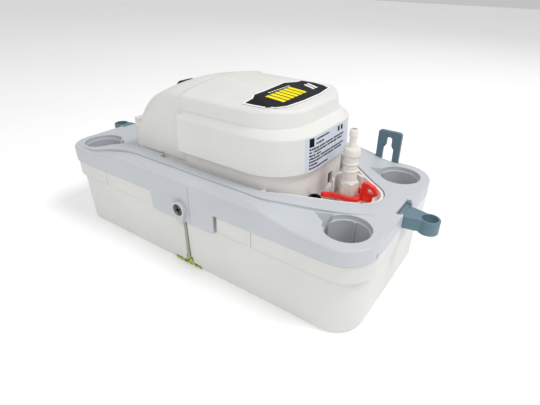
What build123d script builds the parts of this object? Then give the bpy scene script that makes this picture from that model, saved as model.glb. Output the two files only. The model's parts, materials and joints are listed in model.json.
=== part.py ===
from build123d import *
import math
import os

os.makedirs("parts", exist_ok=True)

# ------------------------------------------------------------------
# Driving dimensions (mm). Origin: middle of the tank's underside.
# +X runs along the length towards the discharge outlet, +Y towards
# the wall that the pump hangs on, +Z up.
# ------------------------------------------------------------------
LID_L, LID_W, LID_R = 280.0, 137.7, 23.0     # lid outline
Z_SKIRT = 57.5                               # lower edge of the lid skirt
Z_END, Z_MID = 68.7, 76.4                    # lid ledge height, ends and middle
Z_DECK_END, Z_DECK_MID = 69.5, 77.3          # raised deck height, ends and middle
X_MID, X_END = 52.0, 110.0                   # where the arch starts and ends
LID_T = 2.4                                  # lid wall

BAND_L, BAND_W, BAND_R = 279.6, 135.3, 22.6  # stepped-out band of the tank
Z_BAND = 44.3                                # lower edge of that band
TANK_L, TANK_W, TANK_R = 271.8, 130.0, 21.0  # tank at its underside
TANK_T = 2.5                                 # tank wall
Z_RIM = 65.6                                 # top of the tank's inner rim

PORT_X, PORT_Y, PORT_R = 118.0, 45.0, 15.2   # four inlet ports
TAB_X, TAB_Z = 31.0, 43.0                    # front and rear lid tabs
BOSS_Z, BOSS_R = 52.7, 6.4                   # lid screw boss

BASE_HW = 47.0                               # tray wall, half width
BASE_XR, BASE_XL = 77.0, -70.0               # tray wall, outlet end and far end
SHELL_HW = 46.5                              # rear shell, half width
CAP_Z0, CAP_Z1, CAP_Z2 = 87.0, 111.5, 116.5  # cap: lower edge, ledge start, ledge end
COVER_T = 2.2                                # cover wall
Z_PLATE, PLATE_T = 71.6, 2.4                 # tray plate, underside and thickness
Z_FLOOR = 60.0                               # pocket floor, underside
Z_SHELL = 78.0                               # lower edge of the rear shell

OUT_X, OUT_Y = 96.3, 0.0                     # outlet axis
MOT_X, MOT_Y = 20.0, 0.0                     # motor and pump axis
FLT_X, FLT_Y = -44.0, 0.0                    # float axis
RING_X, RING_Z = 154.8, 66.0                 # ring bracket: ring axis and top
COVER_SCREWS = [(3.0, 37.0, 126.9), (3.0, -37.0, 126.9), (62.5, 22.0, 126.0), (62.5, -22.0, 126.0)]  # x, y, boss top
BASE_SCREWS = [(81.5, -20.5), (81.5, 22.0)]        # screws in the pocket
MOT_PX, MOT_PY, MOT_Z0 = 20.0, 20.0, 86.0    # motor screws and underside of the stator
GLAND_Y, GLAND_Z = 15.0, 108.5               # cable gland in the rounded end
HANG_X = 99.0                                # keyhole hangers, middle

# lid opening: the tray wall in the middle, running out to the pocket's rounded tip
OPEN_PTS = [(-38.2, 46.0, 0.8), (-72.0, 46.0, 6.0), (-72.0, -46.0, 6.0), (-38.2, -46.0, 0.8),
            (-38.2, -50.5, 0.8), (61.5, -50.5, 10.0), (135.2, 2.56, 17.5), (61.5, 50.5, 10.0),
            (-38.2, 50.5, 0.8)]


def inset_polygon(pts, d):
    """The same polygon moved inwards by d, radii reduced to match."""
    n = len(pts)
    out = []
    for i in range(n):
        (x0, y0, _), (x1, y1, r), (x2, y2, _) = pts[i - 1], pts[i], pts[(i + 1) % n]
        a = (x1 - x0, y1 - y0)
        b = (x2 - x1, y2 - y1)
        la, lb = math.hypot(*a), math.hypot(*b)
        na, nb = (-a[1] / la, a[0] / la), (-b[1] / lb, b[0] / lb)
        k = d / (1 + na[0] * nb[0] + na[1] * nb[1])
        out.append((x1 + (na[0] + nb[0]) * k, y1 + (na[1] + nb[1]) * k, max(r - d, 0.3)))
    return out

# ------------------------------------------------------------------
# Tank: tapered box with a stepped-out band under the lid's skirt
# ------------------------------------------------------------------
with BuildPart() as tank:
    with BuildSketch(Plane.XY):
        RectangleRounded(TANK_L, TANK_W, TANK_R)
    with BuildSketch(Plane.XY.offset(Z_BAND)):
        RectangleRounded(TANK_L + 2.4, TANK_W + 2.4, TANK_R + 1.2)
    loft()
    fillet(tank.faces().sort_by(Axis.Z)[0].edges(), radius=3.0)
    with BuildSketch(Plane.XY.offset(Z_BAND)):
        RectangleRounded(BAND_L, BAND_W, BAND_R)
    extrude(amount=Z_SKIRT - Z_BAND)
    fillet(tank.faces().filter_by(Axis.Z).sort_by(Axis.Z)[-1].edges(), radius=0.6)
    with BuildSketch(Plane.XY.offset(Z_SKIRT - 0.01)):
        RectangleRounded(273.4, 130.9, 20.4)
    extrude(amount=Z_RIM - Z_SKIRT + 0.01)
    # inside
    with BuildSketch(Plane.XY.offset(2.6)):
        RectangleRounded(TANK_L - 2 * TANK_T, TANK_W - 2 * TANK_T, TANK_R - TANK_T)
    with BuildSketch(Plane.XY.offset(Z_RIM + 1)):
        RectangleRounded(268.8, 126.4, 18.2)
    loft(mode=Mode.SUBTRACT)
    # the band steps back behind the front and rear tabs of the lid
    for side in (-1, 1):
        with BuildSketch(Plane.XY.offset(Z_BAND - 1)):
            with Locations((0.7, side * (BAND_W / 2 + 0.3))):
                Rectangle(2 * TAB_X + 3.4, 4.2)
        extrude(amount=Z_SKIRT - Z_BAND + 2, mode=Mode.SUBTRACT)
    # fine mould lines on the front of the band
    for x in (-87.0, 62.4):
        with BuildSketch(Plane.XY.offset(Z_BAND - 1)):
            with Locations((x, -BAND_W / 2)):
                Rectangle(0.55, 0.7)
        extrude(amount=Z_SKIRT - Z_BAND - 0.6, mode=Mode.SUBTRACT)
    # wall thickened inside, behind the vial pocket
    with BuildSketch(Plane.XY.offset(1.0)):
        with Locations((-2.3, -TANK_W / 2 + 7.2)):
            Rectangle(34.0, 4.4)
    extrude(amount=11.0)
    # groove for the level stem, and pocket for the vial, on the front
    with BuildSketch(Plane.XY):
        with Locations((0.0, -TANK_W / 2 - 0.6)):
            Rectangle(3.3, 3.6)
    extrude(amount=Z_BAND + 2, mode=Mode.SUBTRACT)
    with BuildSketch(Plane.XY):
        with Locations((-2.3, -TANK_W / 2)):
            Rectangle(27.2, 10.4)
    extrude(amount=3.7, mode=Mode.SUBTRACT)
    with BuildSketch(Plane.XY):
        with Locations((0.0, -TANK_W / 2)):
            Rectangle(7.4, 10.4)
    extrude(amount=8.4, mode=Mode.SUBTRACT)
    # blind holes for the lid screws, and notches in the rim for the end brackets
    for side in (-1, 1):
        with BuildSketch(Plane.XZ.offset(-side * 64.2)):
            with Locations((0, BOSS_Z)):
                Circle(2.0)
        extrude(amount=-side * 4.0, mode=Mode.SUBTRACT)
        with Locations((side * 137.0, 0, Z_SKIRT)):
            Box(8.0, 26.0, 12.0, align=(Align.CENTER, Align.CENTER, Align.MIN), mode=Mode.SUBTRACT)
        with Locations((side * HANG_X, 66.5, Z_SKIRT)):
            Box(22.0, 4.0, 12.0, align=(Align.CENTER, Align.CENTER, Align.MIN), mode=Mode.SUBTRACT)
tank.part.label = "tank"
print("tank", tank.part.volume, tank.part.is_valid, len(tank.solids()))
export_step(tank.part, "parts/tank.step")

# ------------------------------------------------------------------
# Lid: arched ledge, raised deck, skirt, inlet ports, tabs and slots
# ------------------------------------------------------------------
DECK = [(-135.2, -63.9, 17.0), (-104.0, -63.9, 16.0), (-91.0, -57.9, 16.0),
        (64.0, -58.4, 24.0), (138.6, -13.8, 1.5)]

with BuildPart() as lid_deck:
    with BuildSketch(Plane.XY.offset(60)) as deck_plan:
        with BuildLine():
            Polyline([(x, y) for x, y, r in DECK] + [(x, -y) for x, y, r in reversed(DECK)],
                     close=True)
        make_face()
        for x, y, r in DECK:
            fillet(deck_plan.vertices().filter_by(
                lambda v: abs(v.X - x) < 0.1 and abs(abs(v.Y) - abs(y)) < 0.1), radius=r)
    extrude(amount=30)
    with BuildSketch(Plane.XZ.offset(-80)):
        with BuildLine():
            Line((-150, 40), (-150, 66.6))
            Line((-150, 66.6), (-138.0, 68.4))
            Spline([(-138.0, 68.4), (-110, Z_DECK_END), (-86, 73.2), (-56, Z_DECK_MID)],
                   tangents=[(1, 0.04), (1, 0)])
            Line((-56, Z_DECK_MID), (56, Z_DECK_MID))
            Spline([(56, Z_DECK_MID), (86, 73.2), (110, Z_DECK_END), (138.0, 68.4)],
                   tangents=[(1, 0), (1, -0.04)])
            Line((138.0, 68.4), (150, 66.6))
            Line((150, 66.6), (150, 40))
            Line((150, 40), (-150, 40))
        make_face()
    extrude(amount=160, mode=Mode.INTERSECT)

with BuildPart() as lid_core:
    with BuildSketch(Plane.XY.offset(40)):
        RectangleRounded(LID_L - 2 * LID_T, LID_W - 2 * LID_T, LID_R - LID_T)
    extrude(amount=45)
    with BuildSketch(Plane.XZ.offset(-80)):
        with BuildLine():
            Line((-150, 30), (-150, Z_END - LID_T))
            Line((-150, Z_END - LID_T), (-X_END, Z_END - LID_T))
            Spline([(-X_END, Z_END - LID_T), (-X_MID, Z_MID - LID_T)], tangents=[(1, 0), (1, 0)])
            Line((-X_MID, Z_MID - LID_T), (X_MID, Z_MID - LID_T))
            Spline([(X_MID, Z_MID - LID_T), (X_END, Z_END - LID_T)], tangents=[(1, 0), (1, 0)])
            Line((X_END, Z_END - LID_T), (150, Z_END - LID_T))
            Line((150, Z_END - LID_T), (150, 30))
            Line((150, 30), (-150, 30))
        make_face()
    extrude(amount=160, mode=Mode.INTERSECT)

with BuildPart() as lid:
    with BuildSketch(Plane.XY.offset(Z_SKIRT)):
        RectangleRounded(LID_L, LID_W, LID_R)
    extrude(amount=30)
    with BuildSketch(Plane.XZ.offset(-80)):
        with BuildLine():
            Line((-150, 40), (-150, Z_END))
            Line((-150, Z_END), (-X_END, Z_END))
            Spline([(-X_END, Z_END), (-X_MID, Z_MID)], tangents=[(1, 0), (1, 0)])
            Line((-X_MID, Z_MID), (X_MID, Z_MID))
            Spline([(X_MID, Z_MID), (X_END, Z_END)], tangents=[(1, 0), (1, 0)])
            Line((X_END, Z_END), (150, Z_END))
            Line((150, Z_END), (150, 40))
            Line((150, 40), (-150, 40))
        make_face()
    extrude(amount=160, mode=Mode.INTERSECT)
    # the shoulders lean in along the long sides
    with BuildSketch(Plane.YZ.offset(-160)):
        with BuildLine():
            Polyline([(-80, 40), (-80, 73.4), (-LID_W / 2, 73.4), (-65.2, 76.6), (-65.2, 90),
                      (65.2, 90), (65.2, 76.6), (LID_W / 2, 73.4), (80, 73.4), (80, 40), (-80, 40)])
        make_face()
    extrude(amount=320, mode=Mode.INTERSECT)
    rim = [e for e in lid.edges()
           if e.center().Z > 64 and abs(abs(e.center().Y) - LID_W / 2) < 1.2
           or e.center().Z > 64 and abs(e.center().X) > LID_L / 2 - LID_R]
    rim = [e for e in rim if abs(e.bounding_box().size.Z) < 8 and not (
        e.bounding_box().size.X < 0.01 and e.bounding_box().size.Y < 0.01)]
    fillet(rim, radius=1.5)
    add(lid_deck.part)
    # hollow underneath
    add(lid_core.part, mode=Mode.SUBTRACT)
    # front and rear tabs over the tank's band
    for side in (-1, 1):
        with BuildSketch(Plane.XZ.offset(-side * LID_W / 2)):
            with BuildLine():
                Polyline([(-TAB_X, Z_SKIRT + 0.5), (-TAB_X + 1.2, TAB_Z), (TAB_X, TAB_Z),
                          (TAB_X, Z_SKIRT + 0.5)], close=True)
            make_face()
        extrude(amount=side * 1.25)
        # screw boss with its tail
        with BuildSketch(Plane.XZ.offset(-side * (LID_W / 2 - 1.2))):
            with Locations((0, BOSS_Z)):
                Circle(BOSS_R)
        extrude(amount=-side * 4.2)
        with BuildSketch(Plane.XZ.offset(-side * (LID_W / 2 - 1.2))):
            with BuildLine():
                Polyline([(-4.9, BOSS_Z - 4.1), (-2.0, TAB_Z - 2.4), (2.0, TAB_Z - 2.4),
                          (4.9, BOSS_Z - 4.1)], close=True)
            make_face()
        extrude(amount=-side * 3.4)
        # screw pocket and shank hole
        with BuildSketch(Plane.XZ.offset(-side * (LID_W / 2 + 3.0))):
            with Locations((0, BOSS_Z)):
                Circle(4.6)
        extrude(amount=side * 2.6, mode=Mode.SUBTRACT)
        with BuildSketch(Plane.XZ.offset(-side * (LID_W / 2 + 3.0))):
            with Locations((0, BOSS_Z)):
                Circle(2.1)
        extrude(amount=side * 8, mode=Mode.SUBTRACT)
        # room for the level stem behind the front tab
        if side < 0:
            with BuildSketch(Plane.XY.offset(TAB_Z - 4)):
                with Locations((0, -LID_W / 2 + 0.3)):
                    Rectangle(3.1, 3.6)
            extrude(amount=7.0, mode=Mode.SUBTRACT)
        # fine joint line up the skirt
        with BuildSketch(Plane.XY.offset(TAB_Z - 1)):
            with Locations((8.9, side * LID_W / 2)):
                Rectangle(0.35, 0.5)
        extrude(amount=31.5, mode=Mode.SUBTRACT)
    # sleeves of the inlet ports, and the chutes that run into them
    with Locations(*[Location((x, y, 0)) for x in (-PORT_X, PORT_X) for y in (-PORT_Y, PORT_Y)]):
        with Locations((0, 0, 45.0)):
            Cylinder(PORT_R - 0.1, Z_END - 1.0 - 45.0, align=(Align.CENTER, Align.CENTER, Align.MIN))
        with Locations((0, 0, 64.2)):
            Cylinder(PORT_R + 0.9, Z_END - 1.0 - 64.2, align=(Align.CENTER, Align.CENTER, Align.MIN))
    for sx in (-1, 1):
        for sy in (-1, 1):
            for grow, z0, z1, md in ((1.6, 50.0, Z_END - 0.6, Mode.ADD), (0.0, 52.5, Z_END + 6, Mode.SUBTRACT)):
                if md == Mode.SUBTRACT:
                    with BuildSketch(Plane.XY.offset(Z_END - 3.2)):
                        with Locations((sx * PORT_X, sy * PORT_Y)):
                            Circle(PORT_R)
                    extrude(amount=12, mode=Mode.SUBTRACT)
                    with BuildSketch(Plane.XY.offset(40)):
                        with Locations((sx * PORT_X, sy * PORT_Y)):
                            Circle(PORT_R - 1.3)
                    extrude(amount=30, mode=Mode.SUBTRACT)
                k = (z1 - z0) / (Z_END - 52.5)
                w = 5.2 * (k if md == Mode.SUBTRACT else 1) + grow
                l = 9.2 * (k if md == Mode.SUBTRACT else 1) + grow
                with BuildSketch(Plane.XY.offset(z0)):
                    with BuildLine():
                        Polyline([(sx * 104.2, sy * 43.6), (sx * (103.4 - grow), sy * 42.0),
                                  (sx * 104.2, sy * 40.4)], close=True)
                    make_face()
                with BuildSketch(Plane.XY.offset(z1)):
                    with BuildLine():
                        Polyline([(sx * 104.2, sy * (42.0 + w + 1.6)), (sx * (103.6 - l), sy * (42.0)),
                                  (sx * 104.2, sy * (42.0 - w - 1.6))], close=True)
                    make_face()
                loft(mode=md)
    # rib down the inside of each port
    with Locations(*[Location((sx * (PORT_X - 0.8), sy * (PORT_Y - PORT_R + 1.75), 55.2))
                     for sx in (-1, 1) for sy in (-1, 1)]):
        Box(1.1, 1.6, 20.4)
    # opening for the tray wall and the outlet pocket
    with BuildSketch(Plane.XY.offset(55)) as open_plan:
        with BuildLine():
            Polyline([(x, y) for x, y, r in OPEN_PTS], close=True)
        make_face()
        for x, y, r in OPEN_PTS:
            fillet(open_plan.vertices().filter_by(
                lambda v: abs(v.X - x) < 0.05 and abs(v.Y - y) < 0.05), radius=r)
    extrude(amount=40, mode=Mode.SUBTRACT)
    # slots for the ring brackets at the ends
    for sx in (-1, 1):
        with BuildSketch(Plane.XY.offset(50)):
            with Locations((sx * 137.1, 0)):
                Rectangle(3.4, 22.4)
            with Locations((sx * 141.2, 0)):
                Rectangle(5.0, 18.0)
        extrude(amount=30, mode=Mode.SUBTRACT)
        # slots for the keyhole hangers in the rear edge
        with BuildSketch(Plane.XY.offset(50)):
            with Locations((sx * HANG_X, 65.3 + 2.5)):
                Rectangle(20.2, 5.0)
        extrude(amount=40, mode=Mode.SUBTRACT)
        # narrow relief slits in the end skirts
        with BuildSketch(Plane.XY.offset(50)):
            with Locations((sx * 139.5, 48.7), (sx * 139.5, -48.7)):
                Rectangle(4.0, 1.0)
        extrude(amount=11.5, mode=Mode.SUBTRACT)
lid.part.label = "lid"
print("lid", lid.part.volume, lid.part.is_valid, len(lid.solids()))
export_step(lid.part, "parts/lid.step")

# ------------------------------------------------------------------
# Motor cover: rear shell with a rounded end, lofted along X
# ------------------------------------------------------------------
# (x, half width, height in the middle, height at the side, corner radius)
SHELL = [(-12.0, 46.5, 133.3, 127.6, 5.0), (-24.0, 46.45, 131.0, 125.6, 6.5),
         (-38.0, 46.3, 128.2, 122.4, 9.5), (-49.0, 46.1, 123.6, 117.4, 13.0),
         (-57.5, 45.8, 117.6, 111.2, 16.0), (-64.0, 45.4, 108.6, 103.0, 16.0),
         (-68.3, 44.9, 96.0, 92.0, 11.0), (-70.0, 44.5, 86.0, 83.8, 4.0)]


def shell_section(x, hw, zc, zs, r, z0):
    """Cross-section of the shell at x: straight sides, rounded shoulders, crowned top."""
    pl = Plane(origin=(x, 0, 0), x_dir=(0, 1, 0), z_dir=(1, 0, 0))
    with BuildSketch(pl) as s:
        with BuildLine():
            Polyline([(-hw, zs), (-hw, z0), (hw, z0), (hw, zs)])
            ThreePointArc((hw, zs), (0, zc), (-hw, zs))
        make_face()
        fillet(s.vertices().sort_by(Axis.Y)[-2:], radius=r)
    return s.sketch


with BuildPart() as shell_outer:
    loft(sections=[shell_section(*q, Z_SHELL) for q in SHELL])
print("shell outer", shell_outer.part.volume, shell_outer.part.is_valid)

with BuildPart() as shell_inner:
    loft(sections=[shell_section(x if i else x + 6, hw - COVER_T, zc - COVER_T, zs - COVER_T,
                                 max(r - COVER_T, 1.5), Z_SHELL - 6)
                   for i, (x, hw, zc, zs, r) in enumerate(
                       [(q[0] + (0.9 if q[0] < -60 else 0.4 if q[0] < -30 else 0), *q[1:])
                        for q in SHELL[:-1]])])
print("shell inner", shell_inner.part.volume, shell_inner.part.is_valid)

with BuildPart() as motor_cover:
    add(shell_outer.part)
    add(shell_inner.part, mode=Mode.SUBTRACT)
    # lip that reaches under the cap
    with BuildSketch(Plane(origin=(-12.2, 0, 0), x_dir=(0, 1, 0), z_dir=(1, 0, 0))) as lip:
        with BuildLine():
            Polyline([(-43.9, 122.6), (-43.9, 90.0), (43.9, 90.0), (43.9, 122.6)])
            ThreePointArc((43.9, 122.6), (0, 128.9), (-43.9, 122.6))
        make_face()
        offset(amount=-1.6, mode=Mode.SUBTRACT)
        with Locations((0, 90)):
            Rectangle(84.6, 8, mode=Mode.SUBTRACT)
    extrude(amount=9.0)
    # small drain notch at the foot of the front wall
    with BuildSketch(Plane.XY.offset(Z_SHELL - 1)):
        with Locations((-39.0, -46.5), (-39.0, 46.5)):
            Rectangle(2.4, 3.0)
    extrude(amount=2.0, mode=Mode.SUBTRACT)
    # hole for the cable gland in the rounded end
    with BuildSketch(Plane(origin=(-80, GLAND_Y, GLAND_Z), x_dir=(0, 1, 0), z_dir=(1, 0, 0))):
        Circle(7.6)
    extrude(amount=26.0, mode=Mode.SUBTRACT)
    # louvre openings in the end wall
    for z in (82.0, 87.5, 93.0):
        with BuildSketch(Plane(origin=(-80, 0, z), x_dir=(0, 1, 0), z_dir=(1, 0, 0))):
            with Locations((-25, 0), (0, 0), (25, 0)):
                SlotOverall(21, 2.4)
        extrude(amount=16.0, mode=Mode.SUBTRACT)
motor_cover.part.label = "motor_cover"
print("motor_cover", motor_cover.part.volume, motor_cover.part.is_valid, len(motor_cover.solids()))
export_step(motor_cover.part, "parts/motor_cover.step")

# ------------------------------------------------------------------
# Cover cap: overhanging wall, sloped ledge, upper tier, crowned top
# ------------------------------------------------------------------
def d_outline(z, xl, xr, hw, r):
    """Outline with square corners at xl and rounded corners at xr."""
    with BuildSketch(Plane.XY.offset(z)) as s:
        with BuildLine():
            Polyline([(xl, -hw), (xr, -hw), (xr, hw), (xl, hw)], close=True)
        make_face()
        fillet(s.vertices().sort_by(Axis.X)[-2:], radius=r)
    return s.sketch


def cap_solid(t):
    """Cap body moved inwards by t."""
    with BuildPart() as c:
        loft(sections=[d_outline(CAP_Z0 - (2 if t else 0), -15 - (6 if t else 0), 81.1 - t, 51.7 - t, 34.0 - t),
                       d_outline(CAP_Z1 - t * 0.6, -15 - (6 if t else 0), 80.2 - t, 50.8 - t, 33.2 - t)])
        loft(sections=[d_outline(CAP_Z1 - t * 0.6, -15 - (6 if t else 0), 80.2 - t, 50.8 - t, 33.2 - t),
                       d_outline(CAP_Z2 - t * 0.6, -15 - (6 if t else 0), 72.6 - t, 47.3 - t, 30.2 - t)])
        loft(sections=[d_outline(CAP_Z2 - t * 0.6, -15 - (6 if t else 0), 72.4 - t, 47.1 - t, 30.0 - t),
                       d_outline(137.0, -15 - (6 if t else 0), 69.8 - t, 46.0 - t, 30.4 - t)])
        # crowned top, falling gently towards the outlet end
        pl = Plane(origin=(-40, 0, 0), x_dir=(0, 1, 0), z_dir=(1, 0, 0))
        with BuildSketch(pl):
            with BuildLine():
                Polyline([(-60, 122.4 - t), (-60, 60), (60, 60), (60, 122.4 - t)])
                ThreePointArc((60, 122.4 - t), (0, 132.9 - t), (-60, 122.4 - t))
            make_face()
        extrude(amount=160, mode=Mode.INTERSECT)
        with BuildSketch(Plane.XZ.offset(-80)):
            with BuildLine():
                Polyline([(-40, 132.9 - t + 0.4), (-40, 50), (100, 50), (100, 119.4 - t)])
                Spline([(-40, 132.9 - t + 0.4), (-9, 132.9 - t), (45, 130.0 - t), (73, 126.0 - t), (100, 119.4 - t)])
            make_face()
        extrude(amount=160, mode=Mode.INTERSECT)
    return c.part


with BuildPart() as cover_cap:
    add(cap_solid(0.0))
    rim = [e for e in cover_cap.edges() if e.center().Z > 123 and e.bounding_box().size.Z < 8
           and not (e.bounding_box().size.Y > 60 and e.center().X < 60)]
    fillet(rim, radius=3.2)
    step = [e for e in cover_cap.edges() if abs(e.center().Z - CAP_Z1) < 0.6 and e.center().X > -14.5]
    fillet(step, radius=1.6)
    low = [e for e in cover_cap.edges() if abs(e.center().Z - CAP_Z0) < 0.1 and e.center().X > -14.5]
    fillet(low, radius=0.8)
    add(cap_solid(COVER_T), mode=Mode.SUBTRACT)
    # the cap stops against the rear shell
    with BuildSketch(Plane.XY.offset(80)):
        with Locations((-33, 0)):
            Rectangle(42.0, 2 * SHELL_HW + 0.2)
    extrude(amount=60, mode=Mode.SUBTRACT)
    with BuildSketch(Plane.XY.offset(CAP_Z1 + 2.6)):
        with Locations((-33, 0)):
            Rectangle(42.0, 120)
    extrude(amount=60, mode=Mode.SUBTRACT)
    with BuildSketch(Plane.XY.offset(80)):
        with Locations((-30, 0)):
            Rectangle(30.0, 120)
    extrude(amount=60, mode=Mode.SUBTRACT)
    # screw bosses that stand on the tray
    for x, y, top in COVER_SCREWS:
        with BuildSketch(Plane.XY.offset(CAP_Z0 + 1.9)):
            with Locations((x, y)):
                Circle(3.6)
        extrude(amount=top - CAP_Z0 - 1.9)
        with BuildSketch(Plane.XY.offset(CAP_Z0 + 1.9)):
            with Locations((x, y)):
                Circle(1.3)
        extrude(amount=14.0, mode=Mode.SUBTRACT)
cover_cap.part.label = "cover_cap"
print("cover_cap", cover_cap.part.volume, cover_cap.part.is_valid, len(cover_cap.solids()))
export_step(cover_cap.part, "parts/cover_cap.step")

# ------------------------------------------------------------------
# Tray: plate under the lid, wall under the cap, pocket with the
# outlet socket
# ------------------------------------------------------------------
def rounded_polygon(pts, z, d=0.0):
    """Closed polygon with its own radius at each corner, moved inwards by d."""
    q = inset_polygon(pts, d)
    with BuildSketch(Plane.XY.offset(z)) as s:
        with BuildLine():
            Polyline([(x, y) for x, y, r in q], close=True)
        make_face()
        for x, y, r in q:
            fillet(s.vertices().filter_by(lambda v: abs(v.X - x) < 0.05 and abs(v.Y - y) < 0.05), radius=r)
    return s.sketch


def base_outline(z, d):
    """Plan of the tray wall: straight sides and a rounded outlet end, moved inwards by d."""
    with BuildSketch(Plane.XY.offset(z)) as s:
        with BuildLine():
            Polyline([(-14.2 + d, -BASE_HW + d), (BASE_XR - d, -BASE_HW + d),
                      (BASE_XR - d, BASE_HW - d), (-14.2 + d, BASE_HW - d)], close=True)
        make_face()
        fillet(s.vertices().sort_by(Axis.X)[-2:], radius=28.0 - d)
    return s.sketch


with BuildPart() as pocket_top:
    with BuildSketch(Plane.XZ.offset(-80)):
        with BuildLine():
            Polyline([(40, Z_DECK_MID - 1.0), (40, 40), (138.0, 40), (138.0, 67.4)])
            Line((40, Z_DECK_MID - 1.0), (56, Z_DECK_MID - 1.0))
            Spline([(56, Z_DECK_MID - 1.0), (86, 72.2), (110, Z_DECK_END - 1.0), (138.0, 67.4)],
                   tangents=[(1, 0), (1, -0.04)])
        make_face()
    extrude(amount=160)

with BuildPart() as pump_base:
    # pocket block
    add(rounded_polygon(OPEN_PTS, Z_FLOOR, 0.5))
    extrude(amount=24)
    with BuildSketch(Plane.XY.offset(Z_FLOOR - 1)):
        with Locations((-29, 0)):
            Rectangle(170.0, 130)
    extrude(amount=30, mode=Mode.SUBTRACT)
    add(pocket_top.part, mode=Mode.INTERSECT)
    # wall under the cap
    add(base_outline(Z_PLATE, 0.0))
    extrude(amount=CAP_Z0 + 3.0 - Z_PLATE)
    # low rim under the rear shell
    with BuildSketch(Plane.XY.offset(Z_PLATE)):
        with Locations((-41.5, 0)):
            RectangleRounded(56.0, 2 * 45.4, 2.0)
    extrude(amount=Z_SHELL - Z_PLATE)
    # plate, wider than the opening under the flat of the lid
    with BuildSketch(Plane.XY.offset(Z_PLATE)):
        RectangleRounded(2 * X_MID, 105.6, 6.0)
        add(rounded_polygon(OPEN_PTS, 0.0, 0.5))
        with Locations((118.0, 0)):
            Rectangle(120.0, 130, mode=Mode.SUBTRACT)
    extrude(amount=PLATE_T)
    # hollow inside the wall, above and below the plate
    for z, h in ((Z_PLATE + PLATE_T, 30.0), (Z_FLOOR - 1, Z_PLATE - Z_FLOOR + 1)):
        add(base_outline(z, 2.2))
        extrude(amount=h, mode=Mode.SUBTRACT)
    with BuildSketch(Plane.XY.offset(Z_PLATE + PLATE_T)):
        with Locations((-40.3, 0)):
            RectangleRounded(54.2, 2 * 43.2, 1.0)
    extrude(amount=30.0, mode=Mode.SUBTRACT)
    # no cross wall where the rear shell joins the cap, and the wall stops below the shell
    with Locations((-13.0, 0, Z_PLATE + PLATE_T)):
        Box(4.0, 86.0, 30.0, align=(Align.CENTER, Align.CENTER, Align.MIN), mode=Mode.SUBTRACT)
    with Locations((-17.05, 0, Z_SHELL)):
        Box(10.2, 100.0, 30.0, align=(Align.CENTER, Align.CENTER, Align.MIN), mode=Mode.SUBTRACT)
    # hollow of the pocket, beside the wall
    with BuildSketch(Plane.XY.offset(Z_FLOOR + PLATE_T)) as hollow:
        add(rounded_polygon(OPEN_PTS, 0.0, 2.5))
        add(base_outline(0.0, 0.0), mode=Mode.SUBTRACT)
        with Locations((-29 + 3.0, 0)):
            Rectangle(170.0, 130, mode=Mode.SUBTRACT)
    extrude(amount=40, mode=Mode.SUBTRACT)
    # outlet socket: tube through the pocket floor, and a collar open to the front
    with Locations((OUT_X, OUT_Y, 46.0)):
        Cylinder(9.6, Z_FLOOR + PLATE_T - 46.0, align=(Align.CENTER, Align.CENTER, Align.MIN))
    with BuildSketch(Plane.XY.offset(Z_FLOOR + 1)):
        with Locations((OUT_X, OUT_Y)):
            Circle(11.9)
            Circle(9.7, mode=Mode.SUBTRACT)
            with Locations((0.0, -8.0)):
                Rectangle(15.0, 12.0, mode=Mode.SUBTRACT)
    extrude(amount=16.2)
    # tunnels for the arms of the retaining clip, and room for its bow
    for side in (-1, 1):
        with Locations((OUT_X + 1, side * 9.8, 64.7)):
            Box(32.0, 5.2, 3.4, align=(Align.CENTER, Align.CENTER, Align.MIN), mode=Mode.SUBTRACT)
    with Locations((OUT_X + 11.8, 0, 64.7)):
        Box(9.0, 24.8, 3.4, align=(Align.CENTER, Align.CENTER, Align.MIN), mode=Mode.SUBTRACT)
    with Locations((OUT_X + 11.3, -1.9, 64.7)):
        Box(10.0, 21.0, 16.0, align=(Align.CENTER, Align.CENTER, Align.MIN), mode=Mode.SUBTRACT)
    with Locations((OUT_X, OUT_Y, 44.0)):
        Cylinder(6.55, 30.0, align=(Align.CENTER, Align.CENTER, Align.MIN), mode=Mode.SUBTRACT)
    # window in the wall beside the outlet
    with Locations((BASE_XR, 9.5, 63.0)):
        Box(6.0, 6.5, 10.5, align=(Align.CENTER, Align.CENTER, Align.MIN), mode=Mode.SUBTRACT)
    # screw pads in the pocket, with their screw holes
    for x, y in BASE_SCREWS:
        with Locations((x, y, Z_FLOOR)):
            Cylinder(5.4, 5.4, align=(Align.CENTER, Align.CENTER, Align.MIN))
            Cylinder(1.7, 16.0, mode=Mode.SUBTRACT)
    # holes for the pump column and the float stem, motor posts and cover posts
    with Locations((MOT_X, MOT_Y, Z_PLATE - 1)):
        Cylinder(11.0, 6.0, align=(Align.CENTER, Align.CENTER, Align.MIN), mode=Mode.SUBTRACT)
    with Locations((FLT_X, FLT_Y, Z_PLATE - 1)):
        Cylinder(6.2, 6.0, align=(Align.CENTER, Align.CENTER, Align.MIN), mode=Mode.SUBTRACT)
    for dx in (-MOT_PX, MOT_PX):
        for dy in (-MOT_PY, MOT_PY):
            with Locations((MOT_X + dx, MOT_Y + dy, Z_PLATE + PLATE_T)):
                Cylinder(3.4, MOT_Z0 - 1.8 - Z_PLATE - PLATE_T, align=(Align.CENTER, Align.CENTER, Align.MIN))
                Cylinder(1.4, 28.0, mode=Mode.SUBTRACT)
    for x, y, top in COVER_SCREWS:
        with Locations((x, y, Z_PLATE + PLATE_T)):
            Cylinder(3.6, CAP_Z0 + 1.9 - Z_PLATE - PLATE_T, align=(Align.CENTER, Align.CENTER, Align.MIN))
        with Locations((x, y, Z_PLATE - 1)):
            Cylinder(3.0, 13.0, align=(Align.CENTER, Align.CENTER, Align.MIN), mode=Mode.SUBTRACT)
            Cylinder(1.8, 30.0, align=(Align.CENTER, Align.CENTER, Align.MIN), mode=Mode.SUBTRACT)
pump_base.part.label = "pump_base"
print("pump_base", pump_base.part.volume, pump_base.part.is_valid, len(pump_base.solids()))
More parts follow.
